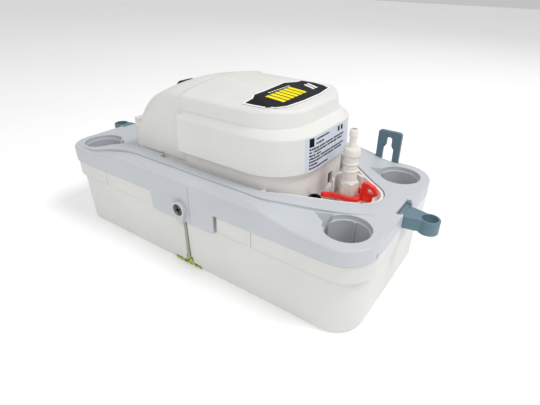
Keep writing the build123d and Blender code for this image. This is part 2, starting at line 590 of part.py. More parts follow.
export_step(pump_base.part, "parts/pump_base.step")

# ------------------------------------------------------------------
# Outlet: stepped hose adaptor with a hexagon, holding the check valve
# ------------------------------------------------------------------
with BuildPart() as outlet_adaptor:
    # hexagon for a spanner, corners bevelled at the top
    with BuildSketch(Plane.XY.offset(64.0)):
        with Locations((OUT_X, OUT_Y)):
            RegularPolygon(6.3, 6, major_radius=False, rotation=13)
    extrude(amount=12.2)
    with BuildSketch(Plane.XZ.offset(-OUT_Y)):
        with BuildLine():
            Polyline([(OUT_X, 63.0), (OUT_X + 9.0, 63.0), (OUT_X + 9.0, 74.4), (OUT_X + 6.3, 76.0),
                      (OUT_X + 6.3, 77.5), (OUT_X, 77.5)], close=True)
        make_face()
    revolve(axis=Axis((OUT_X, OUT_Y, 0), (0, 0, 1)), mode=Mode.INTERSECT)
    # turned outline: spigot, flange, barrel, barbs and nozzle
    with BuildSketch(Plane.XZ.offset(-OUT_Y)):
        with BuildLine():
            Polyline([(OUT_X, 50.0), (OUT_X + 6.5, 50.0), (OUT_X + 6.5, 53.4), (OUT_X + 5.2, 53.4),
                      (OUT_X + 5.2, 55.8), (OUT_X + 6.5, 55.8), (OUT_X + 6.5, 62.5), (OUT_X + 8.9, 62.5),
                      (OUT_X + 8.9, 64.5), (OUT_X + 6.1, 64.5), (OUT_X + 6.1, 75.8), (OUT_X + 5.6, 77.2),
                      (OUT_X + 5.3, 77.4), (OUT_X + 5.3, 83.0), (OUT_X + 5.75, 84.6), (OUT_X + 5.05, 85.0),
                      (OUT_X + 5.0, 88.0), (OUT_X + 5.55, 89.8), (OUT_X + 4.9, 90.2), (OUT_X + 4.9, 94.2),
                      (OUT_X + 5.9, 95.6), (OUT_X + 5.9, 99.4), (OUT_X + 5.2, 100.8), (OUT_X + 2.75, 100.8),
                      (OUT_X + 2.5, 103.2), (OUT_X + 2.5, 107.6), (OUT_X + 2.95, 108.5), (OUT_X + 2.95, 112.5),
                      (OUT_X + 2.4, 113.4), (OUT_X, 113.4)], close=True)
        make_face()
    revolve(axis=Axis((OUT_X, OUT_Y, 0), (0, 0, 1)))
    # water way, stepped, with the ball chamber below
    with Locations((OUT_X, OUT_Y, 49.0)):
        Cylinder(4.4, 2.0, align=(Align.CENTER, Align.CENTER, Align.MIN), mode=Mode.SUBTRACT)
    with Locations((OUT_X, OUT_Y, 51.0 - 0.01)):
        Cylinder(4.4, 13.0, align=(Align.CENTER, Align.CENTER, Align.MIN), mode=Mode.SUBTRACT)
    with Locations((OUT_X, OUT_Y, 60.0)):
        Cylinder(1.9, 60.0, align=(Align.CENTER, Align.CENTER, Align.MIN), mode=Mode.SUBTRACT)
    with Locations((OUT_X, OUT_Y, 66.0)):
        Cylinder(3.2, 30.0, align=(Align.CENTER, Align.CENTER, Align.MIN), mode=Mode.SUBTRACT)
outlet_adaptor.part.label = "outlet_adaptor"
print("outlet", outlet_adaptor.part.volume, outlet_adaptor.part.is_valid, len(outlet_adaptor.solids()))
export_step(outlet_adaptor.part, "parts/outlet_adaptor.step")

with BuildPart() as outlet_oring:
    with BuildSketch(Plane.XZ.offset(-OUT_Y)):
        with Locations((OUT_X + 5.88, 54.6)):
            Circle(0.64)
    revolve(axis=Axis((OUT_X, OUT_Y, 0), (0, 0, 1)))
outlet_oring.part.label = "outlet_oring"
export_step(outlet_oring.part, "parts/outlet_oring.step")

with BuildPart() as valve_seat:
    with BuildSketch(Plane.XZ.offset(-OUT_Y)):
        with BuildLine():
            Polyline([(OUT_X + 2.2, 48.0), (OUT_X + 6.5, 48.0), (OUT_X + 6.5, 49.9), (OUT_X + 4.3, 49.9),
                      (OUT_X + 4.3, 51.6), (OUT_X + 3.6, 51.6), (OUT_X + 2.2, 50.0)], close=True)
        make_face()
    revolve(axis=Axis((OUT_X, OUT_Y, 0), (0, 0, 1)))
valve_seat.part.label = "valve_seat"
export_step(valve_seat.part, "parts/valve_seat.step")

BALL_R = 3.0
with BuildPart() as check_ball:
    with Locations((OUT_X, OUT_Y, 52.1)):
        Sphere(BALL_R)
check_ball.part.label = "check_ball"
export_step(check_ball.part, "parts/check_ball.step")

with BuildPart() as check_spring:
    with BuildLine() as coil_line:
        Helix(pitch=1.7, height=8.5, radius=2.3, center=(OUT_X, OUT_Y, 55.0))
    with BuildSketch(Plane(origin=coil_line.line @ 0, z_dir=coil_line.line % 0)):
        Circle(0.3)
    sweep(is_frenet=True)
check_spring.part.label = "check_spring"
export_step(check_spring.part, "parts/check_spring.step")

# ------------------------------------------------------------------
# Retaining clip: two arms astride the hexagon and a finger ring
# ------------------------------------------------------------------
with BuildPart() as retaining_clip:
    # sprung arms, hooked at their free ends, joined by a bow
    with BuildSketch(Plane.XY.offset(65.0)) as clip_plan:
        with BuildLine():
            Polyline([(OUT_X + 11.4, -5.6), (OUT_X + 10.3, -8.6), (OUT_X + 7.0, -10.3), (OUT_X - 4.0, -10.5),
                      (OUT_X - 7.6, -11.6), (OUT_X - 12.4, -14.0), (OUT_X - 14.6, -13.4), (OUT_X - 13.5, -11.2),
                      (OUT_X - 9.0, -9.0), (OUT_X - 5.0, -7.8), (OUT_X + 5.2, -7.7), (OUT_X + 7.9, -4.6),
                      (OUT_X + 8.6, 0.0),
                      (OUT_X + 7.9, 4.6), (OUT_X + 5.2, 7.7), (OUT_X - 5.0, 7.8), (OUT_X - 9.0, 9.0),
                      (OUT_X - 13.5, 11.2), (OUT_X - 14.6, 13.4), (OUT_X - 12.4, 14.0), (OUT_X - 7.6, 11.6),
                      (OUT_X - 4.0, 10.5), (OUT_X + 7.0, 10.3), (OUT_X + 10.3, 8.6), (OUT_X + 11.4, 5.6)], close=True)
        make_face()
        fillet(clip_plan.vertices(), radius=0.6)
    extrude(amount=2.8)
    # foot that runs out from the bow
    with BuildSketch(Plane.XY.offset(65.0)) as foot_plan:
        with Locations((OUT_X + 13.8, 0)):
            Rectangle(9.2, 5.2)
        fillet(foot_plan.vertices().sort_by(Axis.X)[-2:], radius=1.6)
    extrude(amount=3.6)
    # upright grip with its finger hole
    with BuildSketch(Plane.XZ.offset(-1.6)) as grip:
        with BuildLine():
            Polyline([(OUT_X + 10.3, 66.5), (OUT_X + 10.3, 76.9), (OUT_X + 11.2, 77.9), (OUT_X + 15.0, 78.0),
                      (OUT_X + 18.8, 76.6), (OUT_X + 21.2, 74.2), (OUT_X + 22.3, 71.4), (OUT_X + 21.4, 70.7),
                      (OUT_X + 18.2, 68.2), (OUT_X + 17.6, 66.5)], close=True)
        make_face()
        with BuildLine():
            Polyline([(OUT_X + 14.3, 71.2), (OUT_X + 14.3, 74.5), (OUT_X + 16.7, 74.6), (OUT_X + 18.5, 73.4),
                      (OUT_X + 19.2, 71.4)], close=True)
        make_face(mode=Mode.SUBTRACT)
        fillet(grip.vertices().filter_by(lambda v: v.Z > 69), radius=0.5)
    extrude(amount=3.2)
retaining_clip.part.label = "retaining_clip"
print("clip", retaining_clip.part.volume, retaining_clip.part.is_valid, len(retaining_clip.solids()), retaining_clip.part.bounding_box())
export_step(retaining_clip.part, "parts/retaining_clip.step")

# ------------------------------------------------------------------
# End brackets with a vertical ring, and keyhole wall hangers
# ------------------------------------------------------------------
for side, node in ((1, "ring_bracket_right"), (-1, "ring_bracket_left")):
    with BuildPart() as ring_bracket:
        # flange held in the slot of the lid
        with Locations((side * 137.1, 0, Z_SKIRT + 0.2)):
            Box(2.8, 21.6, RING_Z + 0.3 - Z_SKIRT - 0.2, align=(Align.CENTER, Align.CENTER, Align.MIN))
        # tapered block
        with BuildSketch(Plane.XY.offset(Z_SKIRT + 0.2)):
            with BuildLine():
                Polyline([(side * 138.4, -8.3), (side * 149.4, -6.2), (side * 151.5, -5.4), (side * 151.5, 5.4),
                          (side * 149.4, 6.2), (side * 138.4, 8.3)], close=True)
            make_face()
        extrude(amount=RING_Z - Z_SKIRT - 0.2)
        with BuildSketch(Plane.XY.offset(RING_Z - 9.4)):
            with Locations((side * RING_X, 0)):
                Circle(6.8)
        extrude(amount=9.4)
        fillet([e for e in ring_bracket.edges() if e.geom_type == GeomType.CIRCLE and abs(e.center().Z - RING_Z) < 0.1
                and e.length > 12], radius=0.7)
        with BuildSketch(Plane.XY.offset(RING_Z - 20)):
            with Locations((side * RING_X, 0)):
                Circle(5.25)
        extrude(amount=40, mode=Mode.SUBTRACT)
    ring_bracket.part.label = node
    print(node, ring_bracket.part.volume, ring_bracket.part.is_valid, len(ring_bracket.solids()))
    export_step(ring_bracket.part, "parts/" + node + ".step")

for side, node in ((1, "keyhole_hanger_right"), (-1, "keyhole_hanger_left")):
    with BuildPart() as keyhole_hanger:
        with BuildSketch(Plane.XZ.offset(-65.7)) as hanger_plan:
            with Locations((side * HANG_X, (58.0 + 93.4) / 2)):
                Rectangle(19.4, 93.4 - 58.0)
            fillet(hanger_plan.vertices().sort_by(Axis.Y)[-2:], radius=2.6)
            # keyhole: wide mouth below, narrow slot above
            with Locations((side * HANG_X, 88.6 - 2.35)):
                Circle(2.35, mode=Mode.SUBTRACT)
            with Locations((side * HANG_X, (86.2 + 76.0) / 2)):
                Rectangle(4.7, 86.2 - 76.0, mode=Mode.SUBTRACT)
            with BuildLine():
                Polyline([(side * HANG_X - 2.35, 81.6), (side * HANG_X - 4.4, 78.6), (side * HANG_X - 4.4, 64.0),
                          (side * HANG_X + 4.4, 64.0), (side * HANG_X + 4.4, 78.6), (side * HANG_X + 2.35, 81.6)], close=True)
            make_face(mode=Mode.SUBTRACT)
        extrude(amount=-2.9)
        fillet([e for e in keyhole_hanger.edges() if abs(e.center().Y - 65.7) < 0.01 and e.center().Z > 66
                and (abs(abs(e.center().X) - HANG_X) > 8 or e.center().Z > 92)], radius=0.6)
    keyhole_hanger.part.label = node
    print(node, keyhole_hanger.part.volume, keyhole_hanger.part.is_valid, len(keyhole_hanger.solids()), keyhole_hanger.part.bounding_box())
    export_step(keyhole_hanger.part, "parts/" + node + ".step")

# ------------------------------------------------------------------
# Level vial and stem on the front of the tank
# ------------------------------------------------------------------
with BuildPart() as level_vial:
    with BuildSketch(Plane.XZ.offset(TANK_W / 2 - 4.9)):
        with Locations((-2.3, 1.85)):
            RectangleRounded(26.6, 3.1, 0.6)
    extrude(amount=4.7)
    with BuildSketch(Plane.XZ.offset(TANK_W / 2 - 4.9)):
        with Locations((0.0, 4.2)):
            RectangleRounded(6.6, 7.8, 1.0)
    extrude(amount=4.7)
level_vial.part.label = "level_vial"
export_step(level_vial.part, "parts/level_vial.step")

with BuildPart() as level_stem:
    with BuildSketch(Plane.XY.offset(8.6)):
        with Locations((0.0, -TANK_W / 2 - 0.3)):
            Rectangle(2.6, 2.2)
    extrude(amount=36.4)
level_stem.part.label = "level_stem"
export_step(level_stem.part, "parts/level_stem.step")

# ------------------------------------------------------------------
# Screws with a cross recess
# ------------------------------------------------------------------
def cross_screw(pl, head_r, head_h, shank_r, shank_l, dome):
    """Pan-head screw on pl: the shank runs down -z of the plane, the head stands on it."""
    with BuildPart() as s:
        with BuildSketch(pl):
            Circle(head_r)
        extrude(amount=head_h)
        fillet(s.faces().sort_by(Axis(pl.origin, pl.z_dir))[-1].edges(), radius=dome)
        with BuildSketch(pl.offset(0.01)):
            Circle(shank_r)
        extrude(amount=-shank_l)
        with BuildSketch(pl.offset(head_h - 1.3)):
            Rectangle(head_r * 1.15, head_r * 0.30)
            Rectangle(head_r * 0.30, head_r * 1.15)
        extrude(amount=4, mode=Mode.SUBTRACT)
    return s.part


with BuildPart() as lid_screws:
    for side in (-1, 1):
        add(cross_screw(Plane(origin=(0, side * (LID_W / 2 + 0.4), BOSS_Z), x_dir=(0.92, 0, 0.39), z_dir=(0, side, 0)),
                        4.1, 2.0, 1.9, 4.9, 1.0))
lid_screws.part.label = "lid_screws"
print("lid_screws", lid_screws.part.volume, len(lid_screws.solids()))
export_step(lid_screws.part, "parts/lid_screws.step")

with BuildPart() as base_screws:
    for x, y in BASE_SCREWS:
        add(cross_screw(Plane(origin=(x, y, Z_FLOOR + 5.4), x_dir=(0.94, 0.34, 0), z_dir=(0, 0, 1)),
                        4.4, 2.4, 1.6, 10.0, 1.2))
base_screws.part.label = "base_screws"
print("base_screws", base_screws.part.volume, len(base_screws.solids()))
export_step(base_screws.part, "parts/base_screws.step")

# ------------------------------------------------------------------
# Cable gland and end louvres of the rear shell
# ------------------------------------------------------------------
with BuildPart() as cable_gland:
    with BuildSketch(Plane(origin=(0, GLAND_Y, GLAND_Z), x_dir=(-1, 0, 0), z_dir=(0, -1, 0))) as gland_profile:
        with BuildLine():
            Polyline([(55.0, 4.0), (55.0, 7.5), (70.0, 7.5), (70.0, 9.2), (74.0, 9.2), (76.5, 7.4),
                      (76.5, 5.2), (74.5, 4.0)], close=True)
        make_face()
    revolve(axis=Axis((0, GLAND_Y, GLAND_Z), (1, 0, 0)))
    # broad clamp plate behind the shell
    with BuildSketch(Plane(origin=(-73.0, GLAND_Y, GLAND_Z), x_dir=(0, 1, 0), z_dir=(1, 0, 0))):
        with Locations((0, 0.3)):
            RectangleRounded(22.0, 18.6, 5.0)
        Circle(4.0, mode=Mode.SUBTRACT)
    extrude(amount=4.6)
cable_gland.part.label = "cable_gland"
print("gland", cable_gland.part.volume, cable_gland.part.is_valid, cable_gland.part.bounding_box())
export_step(cable_gland.part, "parts/cable_gland.step")

with BuildPart() as end_grille:
    for z, x0, h in ((76.5, -75.2, 1.6), (83.6, -74.8, 1.4), (90.2, -73.6, 1.2), (97.4, -73.0, 1.5)):
        with BuildSketch(Plane.XY.offset(z)):
            with Locations(((x0 - 60) / 2, 0)):
                RectangleRounded(-60 - x0, 86.0, 3.0)
        extrude(amount=h)
    for y in (-41.5, -12.5, 12.5, 41.5):
        with Locations((-66.6, y, 76.5)):
            Box(12.4, 1.4, 22.4, align=(Align.CENTER, Align.CENTER, Align.MIN))
    with Locations((-59.9, 0, 70)):
        Box(20.0, 100, 8.0, align=(Align.CENTER, Align.CENTER, Align.MIN), mode=Mode.SUBTRACT)
    add(shell_outer.part, mode=Mode.SUBTRACT)
    with Locations((-54.0, 0, 90)):
        Box(24.0, 100, 40, mode=Mode.SUBTRACT)
end_grille.part.label = "end_grille"
print("grille", end_grille.part.volume, end_grille.part.is_valid, len(end_grille.solids()), end_grille.part.bounding_box())
export_step(end_grille.part, "parts/end_grille.step")

# ------------------------------------------------------------------
# Labels: thin films on the crowned top and on the outlet end wall
# ------------------------------------------------------------------
LABEL_PTS = [(37.5, -39.4), (38.3, -32.0), (35.5, -26.8), (35.3, -15.9), (32.7, 12.0), (37.4, 21.6), (38.2, 28.1),
             (47.2, 31.4), (54.4, 31.9), (59.4, 29.8), (61.7, 12.9), (62.1, -8.7), (61.0, -27.0), (58.1, -35.2),
             (52.3, -38.8), (44.4, -39.3)]

with BuildPart() as top_label:
    add(cap_solid(-0.22))
    add(cap_solid(0.0), mode=Mode.SUBTRACT)
    with BuildSketch(Plane.XY.offset(118)):
        with BuildLine():
            Polyline(LABEL_PTS, close=True)
        make_face()
        offset(amount=1.3, kind=Kind.INTERSECTION)
    extrude(amount=20, mode=Mode.INTERSECT)
top_label.part.label = "top_label"
print("top_label", top_label.part.volume, top_label.part.is_valid, len(top_label.solids()), top_label.part.bounding_box())
export_step(top_label.part, "parts/top_label.step")

with BuildPart() as rating_label:
    add(cap_solid(-0.22))
    add(cap_solid(0.0), mode=Mode.SUBTRACT)
    with Locations((80.0, -1.25, 99.8)):
        Box(24.0, 58.5, 22.8, mode=Mode.INTERSECT)
rating_label.part.label = "rating_label"
print("rating_label", rating_label.part.volume, rating_label.part.is_valid, len(rating_label.solids()), rating_label.part.bounding_box())
export_step(rating_label.part, "parts/rating_label.step")

# ------------------------------------------------------------------
# Motor: laminated stator, coil, bearing brackets, rotor, fan
# ------------------------------------------------------------------
with BuildPart() as stator:
    with BuildSketch(Plane.XY.offset(MOT_Z0)):
        with Locations((MOT_X, 0)):
            RectangleRounded(44, 44, 1.0)
            Circle(13.5, mode=Mode.SUBTRACT)
        with Locations((-11.0, 18.0), (-11.0, -18.0)):
            Rectangle(22.0, 8.0)
        with Locations((-18.0, 0)):
            Rectangle(8.0, 44.0)
        with Locations((MOT_X - 20, -20), (MOT_X - 20, 20), (MOT_X + 20, -20), (MOT_X + 20, 20)):
            Circle(1.5, mode=Mode.SUBTRACT)
    extrude(amount=20.0)
stator.part.label = "stator"
export_step(stator.part, "parts/stator.step")

with BuildPart() as coil_bobbin:
    for y0, y1 in ((-13.8, -12.4), (12.4, 13.8)):
        with Locations((-18.0, (y0 + y1) / 2, 96.0)):
            Box(21.0, y1 - y0, 34.0)
    with Locations((-18.0, 0, 96.0)):
        Box(10.6, 27.6, 22.6)
        Box(8.02, 30, 20.02, mode=Mode.SUBTRACT)
coil_bobbin.part.label = "coil_bobbin"
export_step(coil_bobbin.part, "parts/coil_bobbin.step")

with BuildPart() as coil_winding:
    with BuildSketch(Plane.XZ.offset(-12.3)):
        with Locations((-18.0, 96.0)):
            RectangleRounded(19.4, 32.0, 4.0)
            Rectangle(10.7, 22.7, mode=Mode.SUBTRACT)
    extrude(amount=24.6)
coil_winding.part.label = "coil_winding"
export_step(coil_winding.part, "parts/coil_winding.step")

for node, z_foot, up in (("lower_bearing_bracket", MOT_Z0, -1), ("upper_bearing_bracket", MOT_Z0 + 20.0, 1)):
    with BuildPart() as bracket:
        with BuildSketch(Plane.XY.offset(z_foot)):
            with Locations((MOT_X, 0)):
                RectangleRounded(46, 46, 3.0)
            with Locations((MOT_X - 20, -20), (MOT_X - 20, 20), (MOT_X + 20, -20), (MOT_X + 20, 20)):
                Circle(1.5, mode=Mode.SUBTRACT)
        extrude(amount=up * 1.8)
        with BuildSketch(Plane.XY.offset(z_foot)):
            with Locations((MOT_X, 0)):
                Circle(16.5)
        extrude(amount=up * 10.0)
        with BuildSketch(Plane.XY.offset(z_foot)):
            with Locations((MOT_X, 0)):
                Circle(15.0)
        extrude(amount=up * 8.6, mode=Mode.SUBTRACT)
        with BuildSketch(Plane.XY.offset(z_foot + up * 4.5)):
            with Locations((MOT_X, 0)):
                Circle(6.5)
        extrude(amount=up * 6.0)
        with BuildSketch(Plane.XY.offset(z_foot + up * 4.5)):
            with Locations((MOT_X, 0)):
                Circle(5.0)
        extrude(amount=up * 4.1, mode=Mode.SUBTRACT)
        with BuildSketch(Plane.XY.offset(z_foot)):
            with Locations((MOT_X, 0)):
                Circle(2.8)
        extrude(amount=up * 12.0, mode=Mode.SUBTRACT)
    bracket.part.label = node
    print(node, bracket.part.volume, bracket.part.is_valid, len(bracket.solids()))
    export_step(bracket.part, "parts/" + node + ".step")

with BuildPart() as shaft_bearings:
    for z in (MOT_Z0 - 8.6, MOT_Z0 + 20 + 4.6):
        with Locations((MOT_X, 0, z)):
            Cylinder(5.0, 4.0, align=(Align.CENTER, Align.CENTER, Align.MIN))
            Cylinder(2.06, 20.0, mode=Mode.SUBTRACT)
shaft_bearings.part.label = "shaft_bearings"
export_step(shaft_bearings.part, "parts/shaft_bearings.step")

with BuildPart() as motor_screws:
    for dx in (-MOT_PX, MOT_PX):
        for dy in (-MOT_PY, MOT_PY):
            add(cross_screw(Plane(origin=(MOT_X + dx, MOT_Y + dy, MOT_Z0 + 21.8), x_dir=(0.8, 0.6, 0), z_dir=(0, 0, 1)),
                            2.8, 2.2, 1.35, 29.0, 0.8))
motor_screws.part.label = "motor_screws"
export_step(motor_screws.part, "parts/motor_screws.step")

with BuildPart() as cover_screws:
    for x, y, top in COVER_SCREWS:
        add(cross_screw(Plane(origin=(x, y, Z_PLATE + 12.0), x_dir=(0.8, 0.6, 0), z_dir=(0, 0, -1)),
                        2.8, 2.2, 1.3, 17.0, 0.7))
cover_screws.part.label = "cover_screws"
export_step(cover_screws.part, "parts/cover_screws.step")

with BuildPart() as motor_rotor:
    with BuildSketch(Plane.XY.offset(MOT_Z0)):
        with Locations((MOT_X, 0)):
            Circle(13.2)
    extrude(amount=20.0)
    for z in (MOT_Z0 - 2.0, MOT_Z0 + 20.0):
        with Locations((MOT_X, 0, z)):
            Cylinder(12.4, 2.0, align=(Align.CENTER, Align.CENTER, Align.MIN))
    with Locations((MOT_X, 0, MOT_Z0)):
        Cylinder(2.0, 60.0, mode=Mode.SUBTRACT)
motor_rotor.part.label = "motor_rotor"
export_step(motor_rotor.part, "parts/motor_rotor.step")

with BuildPart() as motor_shaft:
    with Locations((MOT_X, 0, 8.4)):
        Cylinder(2.0, 115.0, align=(Align.CENTER, Align.CENTER, Align.MIN))
    chamfer(motor_shaft.faces().sort_by(Axis.Z)[-1].edges(), length=0.4)
motor_shaft.part.label = "motor_shaft"
export_step(motor_shaft.part, "parts/motor_shaft.step")

with BuildPart() as cooling_fan:
    with Locations((MOT_X, 0, 117.6)):
        Cylinder(6.0, 5.6, align=(Align.CENTER, Align.CENTER, Align.MIN))
    with Locations((MOT_X, 0, 117.8)):
        with PolarLocations(15.8, 7):
            Box(21.6, 1.3, 4.6, rotation=(32, 0, 0), align=(Align.CENTER, Align.CENTER, Align.MIN))
    with Locations((MOT_X, 0, 117.0)):
        Cylinder(2.0, 20.0, mode=Mode.SUBTRACT)
cooling_fan.part.label = "cooling_fan"
print("fan", cooling_fan.part.volume, cooling_fan.part.is_valid, len(cooling_fan.solids()), cooling_fan.part.bounding_box())
export_step(cooling_fan.part, "parts/cooling_fan.step")

with BuildPart() as terminal_block:
    with Locations((52.0, 0, Z_PLATE + PLATE_T)):
        Box(10.0, 30.0, 10.0, align=(Align.CENTER, Align.CENTER, Align.MIN))
    with Locations(*[(52.0, y, Z_PLATE + PLATE_T + 6.0) for y in (-10.0, 0.0, 10.0)]):
        Cylinder(2.2, 10.0, align=(Align.CENTER, Align.CENTER, Align.MIN), mode=Mode.SUBTRACT)
        Box(12.0, 3.0, 3.0, align=(Align.CENTER, Align.CENTER, Align.MIN), mode=Mode.SUBTRACT)
terminal_block.part.label = "terminal_block"
export_step(terminal_block.part, "parts/terminal_block.step")

# ------------------------------------------------------------------
# Pump in the tank: column, volute, impeller, discharge pipe
# ------------------------------------------------------------------
with BuildPart() as shaft_column:
    with BuildSketch(Plane.XZ):
        with BuildLine():
            Polyline([(MOT_X + 5.5, 22.0), (MOT_X + 12.0, 22.0), (MOT_X + 12.0, 24.4), (MOT_X + 8.4, 24.4),
                      (MOT_X + 8.4, 69.4), (MOT_X + 15.0, 69.4), (MOT_X + 15.0, Z_PLATE), (MOT_X + 5.5, Z_PLATE)],
                     close=True)
        make_face()
    revolve(axis=Axis((MOT_X, 0, 0), (0, 0, 1)))
    with BuildSketch(Plane.XZ.offset(-20)):
        with Locations((MOT_X, 58.0)):
            SlotCenterToCenter(8.0, 4.0, rotation=90)
    extrude(amount=40, mode=Mode.SUBTRACT)
shaft_column.part.label = "shaft_column"
export_step(shaft_column.part, "parts/shaft_column.step")

with BuildPart() as column_bush:
    with Locations((MOT_X, 0, 24.0)):
        Cylinder(5.5, 5.0, align=(Align.CENTER, Align.CENTER, Align.MIN))
        Cylinder(2.06, 20.0, mode=Mode.SUBTRACT)
column_bush.part.label = "column_bush"
export_step(column_bush.part, "parts/column_bush.step")

VOL_R, TAN_R = 25.0, 17.0
TAN_A = math.asin(TAN_R / (OUT_X - MOT_X))
TAN_D = (math.cos(TAN_A), math.sin(TAN_A))
TAN_P = (OUT_X - math.sqrt((OUT_X - MOT_X) ** 2 - TAN_R ** 2) * TAN_D[0],
         -math.sqrt((OUT_X - MOT_X) ** 2 - TAN_R ** 2) * TAN_D[1])

with BuildPart() as pump_volute:
    with Locations((MOT_X, 0, 5.0)):
        Cylinder(VOL_R, 17.0, align=(Align.CENTER, Align.CENTER, Align.MIN))
    with BuildSketch(Plane(origin=(TAN_P[0], TAN_P[1], 12.4), x_dir=(0, 0, 1), z_dir=(TAN_D[0], TAN_D[1], 0))):
        Circle(6.4)
    extrude(amount=30.0)
    with Locations((MOT_X, 0, 4.0)):
        Cylinder(VOL_R - 4.0, 15.4, align=(Align.CENTER, Align.CENTER, Align.MIN), mode=Mode.SUBTRACT)
        Cylinder(5.4, 20.0, align=(Align.CENTER, Align.CENTER, Align.MIN), mode=Mode.SUBTRACT)
    with BuildSketch(Plane(origin=(TAN_P[0], TAN_P[1], 12.4), x_dir=(0, 0, 1), z_dir=(TAN_D[0], TAN_D[1], 0))):
        Circle(4.4)
    extrude(amount=31.0, mode=Mode.SUBTRACT)
pump_volute.part.label = "pump_volute"
print("volute", pump_volute.part.volume, pump_volute.part.is_valid, len(pump_volute.solids()))
export_step(pump_volute.part, "parts/pump_volute.step")

with BuildPart() as volute_cover:
    with Locations((MOT_X, 0, 3.4)):
        Cylinder(VOL_R, 1.6, align=(Align.CENTER, Align.CENTER, Align.MIN))
        Cylinder(7.5, 6.0, mode=Mode.SUBTRACT)
    with Locations((MOT_X, 0, 2.6)):
        with PolarLocations(21.0, 6):
            Cylinder(2.4, 0.9, align=(Align.CENTER, Align.CENTER, Align.MIN))
volute_cover.part.label = "volute_cover"
export_step(volute_cover.part, "parts/volute_cover.step")

with BuildPart() as impeller:
    with Locations((MOT_X, 0, 14.6)):
        Cylinder(18.0, 1.6, align=(Align.CENTER, Align.CENTER, Align.MIN))
    with Locations((MOT_X, 0, 8.2)):
        Cylinder(4.6, 8.0, align=(Align.CENTER, Align.CENTER, Align.MIN))
        with PolarLocations(11.0, 6):
            Box(13.6, 1.4, 6.6, align=(Align.CENTER, Align.CENTER, Align.MIN))
    with Locations((MOT_X, 0, 8.0)):
        Cylinder(2.0, 20.0, mode=Mode.SUBTRACT)
impeller.part.label = "impeller"
print("impeller", impeller.part.volume, impeller.part.is_valid, len(impeller.solids()))
export_step(impeller.part, "parts/impeller.step")

with BuildPart() as discharge_pipe:
    pz = Plane(origin=(TAN_P[0], TAN_P[1], 0), x_dir=(TAN_D[0], TAN_D[1], 0), z_dir=(TAN_D[1], -TAN_D[0], 0))
    run = math.sqrt((OUT_X - MOT_X) ** 2 - TAN_R ** 2)
    with BuildLine(pz) as pipe_line:
        Line((30.0, 12.4), (run - 14.0, 12.4))
        CenterArc((run - 14.0, 26.4), 14.0, -90, 90)
        Line((run, 26.4), (run, 47.9))
    with BuildSketch(Plane(origin=pipe_line.line @ 0, z_dir=pipe_line.line % 0)):
        Circle(6.4)
        Circle(4.4, mode=Mode.SUBTRACT)
    sweep()
discharge_pipe.part.label = "discharge_pipe"
print("pipe", discharge_pipe.part.volume, discharge_pipe.part.is_valid, len(discharge_pipe.solids()), discharge_pipe.part.bounding_box())
export_step(discharge_pipe.part, "parts/discharge_pipe.step")

# ------------------------------------------------------------------
# Float, stem, guide, rocker and the two switches
# ------------------------------------------------------------------
with BuildPart() as float_body:
    with Locations((FLT_X, FLT_Y, 8.0)):
        Cylinder(18.0, 22.0, align=(Align.CENTER, Align.CENTER, Align.MIN))
    fillet(float_body.edges().filter_by(GeomType.CIRCLE), radius=3.0)
    with Locations((FLT_X, FLT_Y, 8.0)):
        Cylinder(2.5, 60.0, mode=Mode.SUBTRACT)
float_body.part.label = "float_body"
export_step(float_body.part, "parts/float_body.step")

with BuildPart() as float_stem:
    with Locations((FLT_X, FLT_Y, 8.4)):
        Cylinder(2.5, 79.6, align=(Align.CENTER, Align.CENTER, Align.MIN))
    for z in (78.4, 84.6):
        with Locations((FLT_X, FLT_Y, z)):
            Cylinder(4.6, 1.2, align=(Align.CENTER, Align.CENTER, Align.MIN))
float_stem.part.label = "float_stem"
export_step(float_stem.part, "parts/float_stem.step")

with BuildPart() as float_guide:
    with Locations((FLT_X, FLT_Y, 66.0)):
        Cylinder(6.15, 9.6, align=(Align.CENTER, Align.CENTER, Align.MIN))
    with Locations((FLT_X, FLT_Y, Z_PLATE + PLATE_T)):
        Cylinder(8.6, 1.6, align=(Align.CENTER, Align.CENTER, Align.MIN))
    with Locations((FLT_X, FLT_Y, 66.0)):
        Cylinder(2.57, 60.0, mode=Mode.SUBTRACT)
float_guide.part.label = "float_guide"
export_step(float_guide.part, "parts/float_guide.step")

ROCK_X, ROCK_Z = -58.0, 92.0
with BuildPart() as switch_bracket:
    with Locations((ROCK_X - 1.0, 0, Z_PLATE + PLATE_T)):
        Box(10.6, 19.4, 1.2, align=(Align.CENTER, Align.CENTER, Align.MIN))
    for s in (-1, 1):
        with Locations((ROCK_X - 1.0, s * 8.95, Z_PLATE + PLATE_T)):
            Box(10.6, 1.5, 23.0, align=(Align.CENTER, Align.CENTER, Align.MIN))
    with BuildSketch(Plane.XZ.offset(-20)):
        with Locations((ROCK_X, ROCK_Z)):
            Circle(1.0)
    extrude(amount=40, mode=Mode.SUBTRACT)
switch_bracket.part.label = "switch_bracket"
export_step(switch_bracket.part, "parts/switch_bracket.step")

with BuildPart() as rocker_pin:
    with BuildSketch(Plane.XZ.offset(-9.7)):
        with Locations((ROCK_X, ROCK_Z)):
            Circle(1.0)
    extrude(amount=19.4)
rocker_pin.part.label = "rocker_pin"
export_step(rocker_pin.part, "parts/rocker_pin.step")

